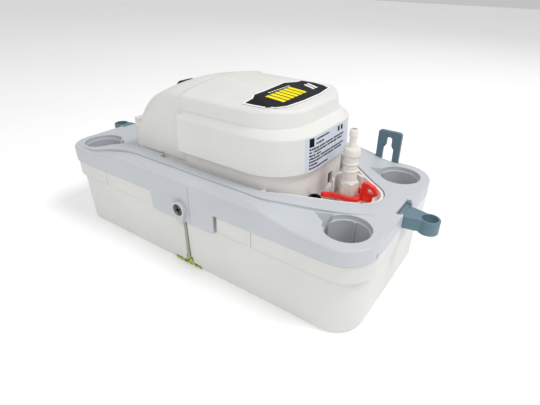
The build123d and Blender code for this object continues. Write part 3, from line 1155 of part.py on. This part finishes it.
with BuildPart() as switch_rocker:
    # hub on the pin
    with BuildSketch(Plane.XZ.offset(-7.0)):
        with Locations((ROCK_X, ROCK_Z)):
            Circle(3.0)
    extrude(amount=14.0)
    # fork towards the stem, 45 degrees down, with a pin in each prong
    fork = Plane(origin=(ROCK_X, 0, ROCK_Z), x_dir=(math.sqrt(0.5), 0, -math.sqrt(0.5)), z_dir=(0, 1, 0))
    for s in (-1, 1):
        with BuildSketch(fork.offset(s * 6.3)):
            with Locations((7.6, 0)):
                Rectangle(15.2, 3.0)
        extrude(amount=0.7, both=True)
        with BuildSketch(fork.offset(s * 3.1)):
            with Locations((14.0, 0)):
                Circle(1.1)
        extrude(amount=s * 3.2)
    # nose that presses the switch buttons
    with BuildSketch(fork.offset(-3.0)):
        with Locations((-4.0, 0)):
            Rectangle(6.0, 2.6)
    extrude(amount=6.0)
    with BuildSketch(Plane.XZ.offset(-20)):
        with Locations((ROCK_X, ROCK_Z)):
            Circle(1.06)
    extrude(amount=40, mode=Mode.SUBTRACT)
switch_rocker.part.label = "switch_rocker"
print("rocker", switch_rocker.part.volume, switch_rocker.part.is_valid, len(switch_rocker.solids()), switch_rocker.part.bounding_box())
export_step(switch_rocker.part, "parts/switch_rocker.step")

for node, s in (("run_switch", 1), ("alarm_switch", -1)):
    with BuildPart() as micro_switch:
        with Locations((ROCK_X - 1.0, s * 12.95, 84.0)):
            Box(10.0, 6.4, 18.0)
        fillet(micro_switch.edges().filter_by(Axis.Y), radius=0.6)
        for z in (76.6, 81.0):
            with Locations((ROCK_X - 1.0, s * 16.5, z)):
                Box(3.2, 1.2, 0.8)
    micro_switch.part.label = node
    export_step(micro_switch.part, "parts/" + node + ".step")
print("done")
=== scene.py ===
import bpy, bmesh, json, math
from mathutils import Vector, Matrix
from mathutils.bvhtree import BVHTree

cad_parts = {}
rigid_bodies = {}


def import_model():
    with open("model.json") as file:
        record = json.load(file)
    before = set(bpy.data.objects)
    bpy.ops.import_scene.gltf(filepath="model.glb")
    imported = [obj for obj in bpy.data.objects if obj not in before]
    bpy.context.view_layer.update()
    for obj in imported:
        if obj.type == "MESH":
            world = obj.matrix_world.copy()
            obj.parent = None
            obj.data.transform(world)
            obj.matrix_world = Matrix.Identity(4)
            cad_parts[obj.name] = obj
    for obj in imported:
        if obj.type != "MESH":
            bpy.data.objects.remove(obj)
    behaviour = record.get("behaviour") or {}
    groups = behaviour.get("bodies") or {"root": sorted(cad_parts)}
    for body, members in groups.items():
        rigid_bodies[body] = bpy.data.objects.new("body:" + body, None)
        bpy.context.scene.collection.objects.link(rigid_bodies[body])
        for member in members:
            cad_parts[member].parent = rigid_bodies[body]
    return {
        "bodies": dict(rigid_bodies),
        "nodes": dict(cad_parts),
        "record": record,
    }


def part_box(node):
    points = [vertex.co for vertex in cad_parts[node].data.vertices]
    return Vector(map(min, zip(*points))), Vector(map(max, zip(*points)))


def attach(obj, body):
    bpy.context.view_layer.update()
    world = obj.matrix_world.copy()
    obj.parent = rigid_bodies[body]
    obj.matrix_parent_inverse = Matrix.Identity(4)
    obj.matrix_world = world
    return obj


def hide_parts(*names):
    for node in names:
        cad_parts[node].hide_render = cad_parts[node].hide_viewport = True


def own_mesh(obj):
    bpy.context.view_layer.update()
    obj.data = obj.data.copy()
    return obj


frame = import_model()
nodes, bodies, record = frame["nodes"], frame["bodies"], frame["record"]
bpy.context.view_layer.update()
MM = 0.001


# ------------------------------------------------------------------ camera
def camera():
    cam = bpy.data.cameras.new("camera")
    cam.lens, cam.sensor_width, cam.sensor_fit = 26.697, 36.0, "HORIZONTAL"
    cam.shift_x, cam.shift_y = -0.03056, -0.01015
    cam.clip_start, cam.clip_end = 0.01, 20.0
    az, el, roll, dist = (math.radians(a) for a in (32.94, 28.96, 1.55, 0.0))
    back = Vector((math.sin(az) * math.cos(el), -math.cos(az) * math.cos(el), math.sin(el)))
    right = Vector((math.cos(az), math.sin(az), 0.0))
    up = back.cross(right)
    r2 = right * math.cos(roll) + up * math.sin(roll)
    u2 = up * math.cos(roll) - right * math.sin(roll)
    pos = Vector((31.85, 20.42, 32.45)) * MM + back * 0.3452
    m = Matrix.Identity(4)
    for i, v in enumerate((r2, u2, back)):
        for k in range(3):
            m[k][i] = v[k]
    for k in range(3):
        m[k][3] = pos[k]
    ob = bpy.data.objects.new("camera", cam)
    ob.matrix_world = m
    bpy.context.scene.collection.objects.link(ob)
    bpy.context.scene.camera = ob
    return ob


camera()


# --------------------------------------------------------------- materials
def lin(c):
    """sRGB 0-255 to linear."""
    out = []
    for v in c:
        v = v / 255.0
        out.append(v / 12.92 if v <= 0.04045 else ((v + 0.055) / 1.055) ** 2.4)
    return out


def base_material(name):
    m = bpy.data.materials.new(name)
    m.use_nodes = True
    nt = m.node_tree
    for n in list(nt.nodes):
        nt.nodes.remove(n)
    out = nt.nodes.new("ShaderNodeOutputMaterial")
    sh = nt.nodes.new("ShaderNodeBsdfPrincipled")
    nt.links.new(sh.outputs["BSDF"], out.inputs["Surface"])
    co = nt.nodes.new("ShaderNodeTexCoord")
    return m, nt, sh, co.outputs["Object"]


def noise(nt, co, scale, detail=3.0, rough=0.55, stretch=None):
    src = co
    if stretch:
        mp = nt.nodes.new("ShaderNodeMapping")
        mp.inputs["Scale"].default_value = stretch
        nt.links.new(co, mp.inputs["Vector"])
        src = mp.outputs["Vector"]
    n = nt.nodes.new("ShaderNodeTexNoise")
    n.inputs["Scale"].default_value = scale
    n.inputs["Detail"].default_value = detail
    n.inputs["Roughness"].default_value = rough
    nt.links.new(src, n.inputs["Vector"])
    return n.outputs["Fac"]


def remap(nt, fac, lo, hi, a=0.3, b=0.7):
    r = nt.nodes.new("ShaderNodeMapRange")
    r.inputs["From Min"].default_value, r.inputs["From Max"].default_value = a, b
    r.inputs["To Min"].default_value, r.inputs["To Max"].default_value = lo, hi
    nt.links.new(fac, r.inputs["Value"])
    return r.outputs["Result"]


def mix(nt, fac, a, b):
    x = nt.nodes.new("ShaderNodeMix")
    x.data_type = "RGBA"
    for sock, v in ((x.inputs["A"], a), (x.inputs["B"], b)):
        if hasattr(v, "is_output"):
            nt.links.new(v, sock)
        else:
            sock.default_value = (*v, 1.0)
    if hasattr(fac, "is_output"):
        nt.links.new(fac, x.inputs["Factor"])
    else:
        x.inputs["Factor"].default_value = fac
    return x.outputs["Result"]


def surface(nt, sh, heights, bevel=0.0004):
    """Chain of bumps (height socket, distance in m, strength) over softened edges."""
    normal = None
    if bevel:
        bv = nt.nodes.new("ShaderNodeBevel")
        bv.samples = 4
        bv.inputs["Radius"].default_value = bevel
        normal = bv.outputs["Normal"]
    for h, dist, strength in heights:
        b = nt.nodes.new("ShaderNodeBump")
        b.inputs["Distance"].default_value = dist
        b.inputs["Strength"].default_value = strength
        nt.links.new(h, b.inputs["Height"])
        if normal is not None:
            nt.links.new(normal, b.inputs["Normal"])
        normal = b.outputs["Normal"]
    if normal is not None:
        nt.links.new(normal, sh.inputs["Normal"])


def plastic(name, rgb, rough=0.42, var=0.035, grain=0.10, grain_scale=2600.0, sub=0.0, spec=0.42,
            bevel=0.0004, coat=0.0, tint=None, wave=0.05):
    """Moulded plastic: faint cloudiness, fine spark texture, slow flow waviness, uneven gloss."""
    m, nt, sh, co = base_material(name)
    c = lin(rgb)
    warm = tint or (1.01, 1.0, 0.985)
    lo = [v * (1 - var) for v in c]
    hi = [min(1.0, v * (1 + var) * w) for v, w in zip(c, warm)]
    cloud = remap(nt, noise(nt, co, 22.0, 4.0), 0.0, 1.0)
    col = mix(nt, cloud, lo, hi)
    speck = remap(nt, noise(nt, co, 900.0, 2.0), 0.0, 1.0, 0.35, 0.75)
    col = mix(nt, remap(nt, speck, 0.0, 0.10, 0.0, 1.0), col, [v * 0.9 for v in c])
    nt.links.new(col, sh.inputs["Base Color"])
    rg = remap(nt, noise(nt, co, 45.0, 4.0, 0.6), rough - 0.06, rough + 0.07)
    nt.links.new(rg, sh.inputs["Roughness"])
    sh.inputs["Specular IOR Level"].default_value = spec
    if sub:
        sh.inputs["Subsurface Weight"].default_value = sub
        sh.inputs["Subsurface Radius"].default_value = (0.003, 0.0025, 0.002)
    if coat:
        sh.inputs["Coat Weight"].default_value = coat
        sh.inputs["Coat Roughness"].default_value = 0.12
    surface(nt, sh, [(noise(nt, co, grain_scale, 2.0), 0.00002, grain), (noise(nt, co, 60.0, 2.0), 0.0002, wave)], bevel)
    return m


def metal(name, rgb, rough=0.35, streak=(1.0, 1.0, 1.0), var=0.12, bevel=0.0002, metallic=1.0, scale=700.0):
    m, nt, sh, co = base_material(name)
    c = lin(rgb)
    f = remap(nt, noise(nt, co, scale, 4.0, 0.6, streak), 0.0, 1.0)
    nt.links.new(mix(nt, f, [v * (1 - var) for v in c], [min(1, v * (1 + var)) for v in c]), sh.inputs["Base Color"])
    nt.links.new(remap(nt, noise(nt, co, scale * 0.4, 3.0, 0.6, streak), rough - 0.08, rough + 0.12), sh.inputs["Roughness"])
    sh.inputs["Metallic"].default_value = metallic
    surface(nt, sh, [(noise(nt, co, scale, 3.0, 0.6, streak), 0.00004, 0.25)], bevel)
    return m


def patchy(name, rgb_a, rgb_b):
    """Clear glossy plastic with darker patches in it, like a liquid window."""
    m, nt, sh, co = base_material(name)
    f = remap(nt, noise(nt, co, 420.0, 2.0, 0.5), 0.0, 1.0, 0.46, 0.56)
    nt.links.new(mix(nt, f, lin(rgb_a), lin(rgb_b)), sh.inputs["Base Color"])
    nt.links.new(remap(nt, noise(nt, co, 60.0), 0.08, 0.2), sh.inputs["Roughness"])
    sh.inputs["Coat Weight"].default_value = 0.5
    surface(nt, sh, [(noise(nt, co, 300.0, 2.0), 0.00003, 0.2)], 0.0002)
    return m


mats = {
    "housing_white": plastic("housing_white", (216, 217, 214), rough=0.40, sub=0.06, grain=0.06),
    "lid_white": plastic("lid_white", (196, 200, 205), rough=0.42, grain=0.16, tint=(1.0, 1.0, 1.0)),
    "cover_white": plastic("cover_white", (223, 223, 220), rough=0.46, sub=0.06, grain=0.14),
    # tray_white: base wall under the cap, set lighter than cover_white as painted light standing in for bounce light
    # in the cap's shadow
    "tray_white": plastic("tray_white", (234, 232, 229), rough=0.44, sub=0.06, grain=0.08),
    "gland_black": plastic("gland_black", (28, 28, 30), rough=0.6, var=0.15, grain=0.2, spec=0.3),
    "label_dark": plastic("label_dark", (24, 22, 26), rough=0.55, var=0.08, grain=0.04, bevel=0.0, spec=0.12),
    "label_pale": plastic("label_pale", (206, 213, 226), rough=0.32, var=0.02, grain=0.04, bevel=0.0),
    "vial_green": patchy("vial_green", (176, 196, 40), (74, 92, 14)),
    # stem_grey: strip set into the tank's groove; its dark grey-beige is painted shade standing in for the groove's
    # shadow
    "stem_grey": plastic("stem_grey", (158, 156, 142), rough=0.35, var=0.06),
    "screw_dark": metal("screw_dark", (84, 82, 80), 0.28),
    "screw_black": metal("screw_black", (26, 25, 25), 0.4),
    "lamination": metal("lamination", (120, 122, 128), 0.4, streak=(1.0, 1.0, 12.0)),
    "bobbin": plastic("bobbin", (225, 218, 196), rough=0.45),
    "winding": metal("winding", (170, 88, 42), 0.3, streak=(1.0, 14.0, 1.0)),
    "zinc_steel": metal("zinc_steel", (190, 192, 194), 0.32, streak=(8.0, 1.0, 1.0)),
    "bronze": metal("bronze", (168, 128, 70), 0.45),
    "pump_grey": plastic("pump_grey", (92, 94, 100), rough=0.5, var=0.06),
    "valve_rubber": plastic("valve_rubber", (34, 34, 36), rough=0.7, var=0.1, spec=0.25),
    "shaft_steel": metal("shaft_steel", (196, 197, 199), 0.22, streak=(1.0, 1.0, 20.0)),
    "float_foam": plastic("float_foam", (238, 236, 228), rough=0.8, grain=0.5, grain_scale=900.0),
    "outlet_ivory": plastic("outlet_ivory", (230, 226, 220), rough=0.36, sub=0.12, grain=0.08),
    "clip_red": plastic("clip_red", (244, 30, 16), rough=0.34, var=0.07, grain=0.05, coat=0.3, tint=(1.02, 1.25, 1.1)),
    "bracket_slate": plastic("bracket_slate", (96, 124, 138), rough=0.36, var=0.06, grain=0.12),
}
slot_of = {s["node"]: s["material_slot"] for s in record["subparts"]}
for name, ob in nodes.items():
    ob.data.materials.clear()
    ob.data.materials.append(mats[slot_of[name]])
    for p in ob.data.polygons:
        p.material_index = 0


# ------------------------------------------------------------------ helpers
def new_object(name, verts, faces, material, body="housing", smooth=True):
    me = bpy.data.meshes.new(name)
    me.from_pydata([tuple(v) for v in verts], [], faces)
    me.validate()
    me.update()
    ob = bpy.data.objects.new(name, me)
    bpy.context.scene.collection.objects.link(ob)
    me.materials.append(material)
    for p in me.polygons:
        p.use_smooth = smooth
    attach(ob, body)
    return ob


def bvh_of(ob):
    return BVHTree.FromPolygons([v.co.copy() for v in ob.data.vertices], [tuple(p.vertices) for p in ob.data.polygons])


cap_tree = bvh_of(nodes["cover_cap"])


def drop_z(x, y, tree=cap_tree):
    """Height of the surface under (x, y), in metres."""
    hit = tree.ray_cast(Vector((x, y, 0.2)), Vector((0, 0, -1)))
    return hit[0].z if hit[0] is not None else None


def film(name, poly, material, lift=0.0002, thick=0.0002, step=0.0022, tree=cap_tree, project=None):
    """A thin film that follows a surface: the polygon (mm) is filled with a grid, dropped on it, and given thickness."""
    bm = bmesh.new()
    vs = [bm.verts.new((x * MM, y * MM, 0.0)) for x, y in poly]
    bm.faces.new(vs)
    lo = [min(p[i] for p in poly) * MM for i in (0, 1)]
    hi = [max(p[i] for p in poly) * MM for i in (0, 1)]
    for ax in (0, 1):
        k = lo[ax] + step
        while k < hi[ax]:
            no = Vector((1, 0, 0)) if ax == 0 else Vector((0, 1, 0))
            bmesh.ops.bisect_plane(bm, geom=bm.verts[:] + bm.edges[:] + bm.faces[:], plane_co=no * k, plane_no=no)
            k += step
    bmesh.ops.triangulate(bm, faces=[f for f in bm.faces if len(f.verts) > 4])
    bm.normal_update()
    if bm.faces and sum(f.normal.z for f in bm.faces) < 0:
        bmesh.ops.reverse_faces(bm, faces=bm.faces[:])
    top, normals = {}, {}
    for v in bm.verts:
        p, n = (project or project_top)(v.co.x, v.co.y)
        top[v] = p + n * (lift + thick)
        normals[v] = n
    base = list(bm.faces)
    boundary = [e for e in bm.edges if len(e.link_faces) == 1]
    under = {}
    for v in bm.verts[:]:
        under[v] = bm.verts.new(top[v] - normals[v] * thick)
    for f in base:
        bm.faces.new([under[v] for v in reversed(f.verts)])
    for e in boundary:
        f = e.link_faces[0]
        a, b = e.verts
        ring = list(f.verts)
        if ring[(ring.index(a) + 1) % len(ring)] != b:
            a, b = b, a
        bm.faces.new([b, a, under[a], under[b]])
    for v in top:
        v.co = top[v]
    bm.normal_update()
    me = bpy.data.meshes.new(name)
    bm.to_mesh(me)
    bm.free()
    ob = bpy.data.objects.new(name, me)
    bpy.context.scene.collection.objects.link(ob)
    me.materials.append(material)
    for p in me.polygons:
        p.use_smooth = False
    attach(ob, "housing")
    return ob


label_tree = bvh_of(nodes["top_label"])


def project_top(x, y):
    hit = label_tree.ray_cast(Vector((x, y, 0.2)), Vector((0, 0, -1)))
    if hit[0] is None:
        # just past the label's edge: keep to the label's height
        hit = cap_tree.ray_cast(Vector((x, y, 0.2)), Vector((0, 0, -1)))
        return hit[0] + Vector((0, 0, 0.00024)), Vector((0, 0, 1))
    return hit[0].copy(), Vector((0, 0, 1))


def offset_poly(pts, d):
    """Polygon (counter-clockwise or not) moved outwards by d."""
    n = len(pts)
    sa = sum(pts[i - 1][0] * pts[i][1] - pts[i][0] * pts[i - 1][1] for i in range(n))
    d = d if sa > 0 else -d
    out = []
    for i in range(n):
        (x0, y0), (x1, y1), (x2, y2) = pts[i - 1], pts[i], pts[(i + 1) % n]
        a, b = (x1 - x0, y1 - y0), (x2 - x1, y2 - y1)
        la, lb = math.hypot(*a), math.hypot(*b)
        na, nb = (a[1] / la, -a[0] / la), (b[1] / lb, -b[0] / lb)
        k = d / max(0.35, 1 + na[0] * nb[0] + na[1] * nb[1])
        out.append((x1 + (na[0] + nb[0]) * k, y1 + (na[1] + nb[1]) * k))
    return out


LABEL = [(37.5, -39.4), (38.3, -32.0), (35.5, -26.8), (35.3, -15.9), (32.7, 12.0), (37.4, 21.6), (38.2, 28.1),
         (47.2, 31.4), (54.4, 31.9), (59.4, 29.8), (61.7, 12.9), (62.1, -8.7), (61.0, -27.0), (58.1, -35.2),
         (52.3, -38.8), (44.4, -39.3)]
ink_yellow = plastic("ink_yellow", (255, 232, 0), rough=0.5, var=0.03, grain=0.03, bevel=0.0, spec=0.15)
ink_white = plastic("ink_white", (244, 244, 246), rough=0.35, var=0.02, grain=0.03, bevel=0.0)
ink_dark = plastic("ink_dark", (16, 18, 24), rough=0.5, var=0.08, grain=0.03, bevel=0.0, spec=0.1)

# white border of the dark label, split into short straight runs
inner_ring, outer_ring = offset_poly(LABEL, 0.0), offset_poly(LABEL, 1.45)
for i in range(len(LABEL)):
    j = (i + 1) % len(LABEL)
    film("label_border_%02d" % i, [inner_ring[i], inner_ring[j], outer_ring[j], outer_ring[i]], ink_white,
         lift=0.0, thick=0.00008, step=0.004)
# six parallel slanted bars: a plain pattern, no lettering
for i in range(6):
    o = Vector((42.4 - 0.25 * i, -24.6 + 5.45 * i))
    tail = Vector((13.6, 1.2))
    w = Vector((-0.2, 3.9))
    film("label_bar_%d" % i, [tuple(o), tuple(o + tail), tuple(o + tail + w), tuple(o + w)], ink_yellow,
         lift=0.0, thick=0.0001, step=0.003)
# row of small ticks, and two plain stripes
for i in range(8):
    o = Vector((38.6, -16.5 + i * 3.3))
    film("label_tick_%d" % i, [tuple(o), tuple(o + Vector((1.5, 0.5))), tuple(o + Vector((1.5, 2.1))), tuple(o + Vector((0, 1.5)))],
         ink_white, lift=0.0, thick=0.00008, step=0.004)
film("label_stripe_a", [(44.6, 19.6), (54.2, 17.0), (54.2, 19.6), (44.6, 22.2)], ink_white,
     lift=0.0, thick=0.00008, step=0.004)
film("label_stripe_b", [(44.6, 23.6), (54.2, 21.0), (54.2, 23.6), (44.6, 26.2)], ink_white,
     lift=0.0, thick=0.00008, step=0.004)

# ---------------------------------------------------------- rating label art
wall_tree = bvh_of(nodes["rating_label"])


def wall_strip(name, y0, y1, z0, z1, material, lift=0.00005):
    """Ink line on the end wall between two Y positions (mm), following its curve."""
    n = max(2, int(abs(y1 - y0) / 1.2) + 1)
    vs, fs = [], []
    for i in range(n + 1):
        y = (y0 + (y1 - y0) * i / n) * MM
        for z in (z0 * MM, z1 * MM):
            d = Vector((1.0, 0.0, 0.0))
            hit = wall_tree.ray_cast(Vector((0.2, y, z)), -d)
            if hit[0] is None:
                return None
            nn = hit[1] if hit[1].dot(d) > 0 else -hit[1]
            vs.append(hit[0] + nn * (lift + 0.00003))
            vs.append(hit[0] + nn * lift * 0.2)
    for i in range(n):
        a, b = 4 * i, 4 * (i + 1)
        fs += [(a, b, b + 2, a + 2), (a + 1, a + 3, b + 3, b + 1), (a, a + 1, b + 1, b), (a + 2, b + 2, b + 3, a + 3)]
    fs += [(0, 2, 3, 1), (4 * n, 4 * n + 1, 4 * n + 3, 4 * n + 2)]
    return new_object(name, vs, fs, material, smooth=False)


ROWS = [  # height, then runs from one Y position to another (mm)
    (108.9, [(-21.0, -4.3)]), (106.0, [(-21.0, -11.5)]),
    (103.0, [(-27.5, -17.6), (-16.6, -9.8), (-8.8, 1.5), (2.6, 17.0)]),
    (100.9, [(-27.5, -25.2), (-23.8, -7.0), (-6.0, 6.5), (7.6, 14.8)]),
    (98.7, [(-27.5, -21.8), (-20.6, -15.4)]),
    (96.6, [(-27.5, -16.2), (-15.0, -2.6), (-1.6, 17.0)]),
    (94.5, [(-27.5, -12.6), (-11.6, 2.6), (3.8, 14.6)]),
    (92.35, [(-27.5, -19.0)]),
    (90.0, [(-27.5, -4.8)]),
]
k = 0
for z, runs in ROWS:
    for a, b in runs:
        # each run is made of short dashes of uneven length
        t = a
        while t < b - 0.2:
            e = min(b, t + (1.2, 2.1, 0.9, 2.6, 1.6)[k % 5])
            wall_strip("rating_dash_%03d" % k, t, e, z - 0.55, z + 0.55, ink_dark)
            t = e + 0.38
            k += 1
wall_strip("rating_block", -27.5, -23.2, 104.6, 110.4, ink_dark)
wall_strip("rating_mark_a", 8.0, 10.6, 106.2, 109.6, ink_dark)
wall_strip("rating_mark_b", 12.6, 15.2, 106.2, 109.6, ink_dark)

# ------------------------------------------------------------------- stage
floor_m, nt, sh, co = base_material("floor")
nt.links.new(mix(nt, remap(nt, noise(nt, co, 3.0), 0, 1), lin((250, 250, 250)), lin((253, 253, 253))), sh.inputs["Base Color"])
sh.inputs["Roughness"].default_value = 0.7
sh.inputs["Emission Color"].default_value = (1.0, 1.0, 1.0, 1.0)
sh.inputs["Emission Strength"].default_value = 0.14
sh.inputs["Specular IOR Level"].default_value = 0.2
me = bpy.data.meshes.new("floor")
S = 4.0
me.from_pydata([(-S, -S, 0), (S, -S, 0), (S, S, 0), (-S, S, 0)], [], [(0, 1, 2, 3)])
floor = bpy.data.objects.new("floor", me)
me.materials.append(floor_m)
bpy.context.scene.collection.objects.link(floor)
floor.location.z = -0.0002

world = bpy.data.worlds.new("world")
world.use_nodes = True
bpy.context.scene.world = world
bg = world.node_tree.nodes["Background"]
bg.inputs["Color"].default_value = (1.0, 1.0, 1.0, 1.0)
bg.inputs["Strength"].default_value = 0.54


def area(name, pos, target, size, power, color=(1, 1, 1)):
    l = bpy.data.lights.new(name, "AREA")
    l.shape, l.size, l.size_y = "RECTANGLE", size[0], size[1]
    l.energy, l.color = power, color
    o = bpy.data.objects.new(name, l)
    o.location = pos
    o.rotation_euler = (Vector(target) - Vector(pos)).to_track_quat("-Z", "Y").to_euler()
    bpy.context.scene.collection.objects.link(o)
    return o


area("key", (0.70, 0.10, 1.15), (0, 0, 0.05), (0.4, 0.4), 7.2)
area("front", (0.25, -0.85, 1.1), (0, 0, 0.05), (0.8, 0.4), 3.6)
area("rim", (0.0, 1.1, 0.9), (0, 0, 0.08), (0.9, 0.4), 1.2)
bpy.context.scene.view_settings.view_transform = "Standard"
bpy.context.scene.view_settings.look = "None"

# the check ball's spring: a copy of its mesh on the housing stands in for the CAD part, which is hidden
src = frame["nodes"]["check_spring"]
lo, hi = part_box("check_spring")
coil_mesh = src.data.copy()
coil_mesh.materials.clear()
coil_mesh.materials.append(src.material_slots[0].material)
coil = bpy.data.objects.new("check_spring_coil", coil_mesh)
bpy.context.scene.collection.objects.link(coil)
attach(coil, "housing")
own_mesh(coil)
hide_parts("check_spring")
